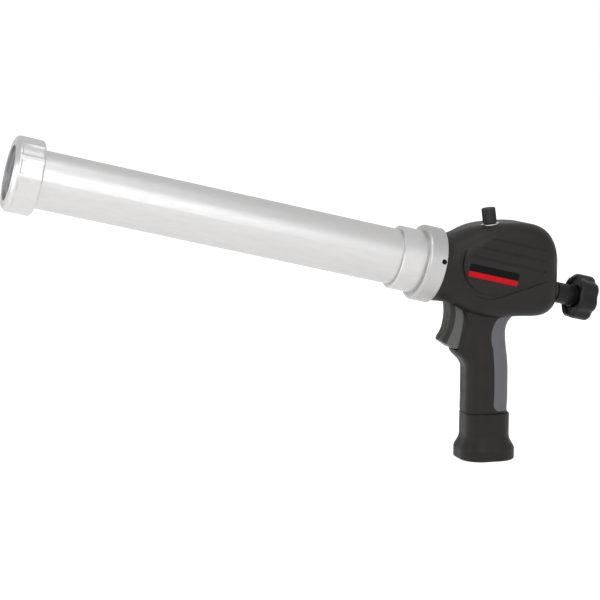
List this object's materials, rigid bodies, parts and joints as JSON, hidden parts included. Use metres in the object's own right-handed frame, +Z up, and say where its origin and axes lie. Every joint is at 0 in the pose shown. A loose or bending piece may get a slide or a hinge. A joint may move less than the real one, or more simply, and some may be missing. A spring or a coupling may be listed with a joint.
{
  "type": "cordless caulking gun",
  "caption": "Cordless caulking gun: metal barrel with a screwed front ring, rack rod with a star knob, geared drive, squeeze trigger, speed dial and slide-in battery.",
  "frame": {"origin": "centre of the battery foot's underside, the face the tool stands on", "axes": "+Z up; the barrel points to -X and rises 13.35 degrees; +X runs back towards the star knob; the labelled left side faces -Y"},
  "size_m": [0.5834, 0.073, 0.3203],
  "materials": {
    "housing_plastic": "fine grained moulding",
    "insert_rubber": "soft, fine grained",
    "label": "smooth, bare",
    "screw_steel": "zinc plated",
    "frame_metal": "cast",
    "collar_metal": "satin anodised",
    "satin_aluminium": "satin anodised",
    "bush_brass": "turned",
    "guide_plastic": "moulded",
    "motor_steel": "drawn can",
    "gearbox_steel": "turned",
    "inner_plastic": "moulded",
    "washer_steel": "plated",
    "board": "coated board",
    "pin_steel": "ground",
    "spring_steel": "drawn wire",
    "gear_steel": "machined, greased",
    "piston_plastic": "moulded",
    "seal_rubber": "smooth",
    "rod_steel": "zinc plated",
    "hub_steel": "turned",
    "knob_plastic": "fine grained moulding",
    "washer_plastic": "moulded",
    "ring_metal": "satin anodised",
    "trigger_rubber": "soft",
    "trigger_plastic": "moulded",
    "plunger_plastic": "smooth",
    "battery_plastic": "fine grained moulding",
    "cell_metal": "sleeved cell",
    "contact_brass": "plated",
    "latch_plastic": "moulded"
  },
  "bodies": {
    "housing": {"housing_left": "housing_plastic", "housing_right": "housing_plastic", "grip_insert": "insert_rubber", "label_plate": "label", "housing_screws": "screw_steel", "gear_frame": "frame_metal", "barrel_collar": "collar_metal", "collar_set_screws": "screw_steel", "barrel_sleeve": "satin_aluminium", "barrel_tube": "satin_aluminium", "front_rod_bush": "bush_brass", "rear_guide_bush": "guide_plastic", "motor": "motor_steel", "planetary_gearbox": "gearbox_steel", "shaft_bushes": "bush_brass", "speed_potentiometer": "inner_plastic", "dial_washer": "washer_steel", "circuit_board": "board", "trigger_switch": "inner_plastic", "trigger_pin": "pin_steel", "trigger_spring": "spring_steel", "grip_terminals": "inner_plastic"},
    "output": {"output_pinion": "gear_steel"},
    "lay": {"layshaft": "gear_steel", "crown_gear": "gear_steel"},
    "drive": {"drive_gear": "gear_steel", "rack_pinion": "gear_steel"},
    "piston": {"piston": "piston_plastic", "piston_seal": "seal_rubber"},
    "rod": {"rack_rod": "rod_steel", "rod_hub": "hub_steel", "star_knob": "knob_plastic", "knob_screw": "screw_steel"},
    "ring_carrier": {"ring_washer": "washer_plastic"},
    "ring": {"front_ring": "ring_metal"},
    "trigger": {"trigger_face": "trigger_rubber", "trigger_lever": "trigger_plastic"},
    "plunger": {"switch_plunger": "plunger_plastic"},
    "dial": {"speed_dial": "knob_plastic", "dial_shaft": "pin_steel"},
    "battery": {"battery_case": "battery_plastic", "battery_base": "battery_plastic", "battery_cells": "cell_metal", "battery_terminals": "contact_brass"},
    "latch": {"battery_latch": "latch_plastic"}
  },
  "joints": [
    {"name": "piston_slide", "type": "slide", "parent": "housing", "child": "piston", "axis": [0.973, 0, -0.2309], "range_m": [0, 0.36]},
    {"name": "rod_turn", "type": "hinge", "parent": "piston", "child": "rod", "pos_m": [-0.43784, 0, 0.2816], "axis": [-0.973, 0, 0.2309], "range_deg": [0, 180]},
    {"name": "drive_spin", "type": "hinge", "parent": "housing", "child": "drive", "pos_m": [-0.03101, 0, 0.20294], "axis": [0, 1, 0], "continuous": true},
    {"name": "lay_spin", "type": "hinge", "parent": "housing", "child": "lay", "pos_m": [-0.01057, 0, 0.20796], "axis": [0, 1, 0], "continuous": true},
    {"name": "output_spin", "type": "hinge", "parent": "housing", "child": "output", "pos_m": [0.00623, 0, 0.20397], "axis": [-0.973, 0, 0.2309], "continuous": true},
    {"name": "ring_slide", "type": "slide", "parent": "housing", "child": "ring_carrier", "axis": [-0.973, 0, 0.2309], "range_m": [0, 0.018]},
    {"name": "ring_turn", "type": "hinge", "parent": "ring_carrier", "child": "ring", "pos_m": [-0.44757, 0, 0.28391], "axis": [-0.973, 0, 0.2309], "range_deg": [0, 2160]},
    {"name": "trigger_pull", "type": "hinge", "parent": "housing", "child": "trigger", "pos_m": [-0.034, 0, 0.161], "axis": [0, -1, 0], "range_deg": [0, 10], "stiffness_Nm_per_rad": 3, "springref_deg": -5.73},
    {"name": "plunger_slide", "type": "slide", "parent": "housing", "child": "plunger", "axis": [1, 0, 0], "range_m": [0, 0.006]},
    {"name": "dial_turn", "type": "hinge", "parent": "housing", "child": "dial", "pos_m": [-0.0036, -0.013, 0.2302], "axis": [-0.1305, 0, 0.9914], "range_deg": [0, 280]},
    {"name": "battery_slide", "type": "slide", "parent": "housing", "child": "battery", "axis": [0, 0, -1], "range_m": [0, 0.045]},
    {"name": "latch_press", "type": "slide", "parent": "battery", "child": "latch", "axis": [-1, 0, 0], "range_m": [0, 0.002], "stiffness_N_per_m": 800, "springref_m": -0.001}
  ],
  "couplings": [
    {"joint": "drive_spin", "follows": "piston_slide", "rad_per_m": -95.238},
    {"joint": "lay_spin", "follows": "piston_slide", "rad_per_m": 238.1},
    {"joint": "output_spin", "follows": "piston_slide", "rad_per_m": 714.29},
    {"joint": "ring_slide", "follows": "ring_turn", "m_per_rad": 0.00047746},
    {"joint": "plunger_slide", "follows": "trigger_pull", "m_per_rad": 0.032}
  ]
}
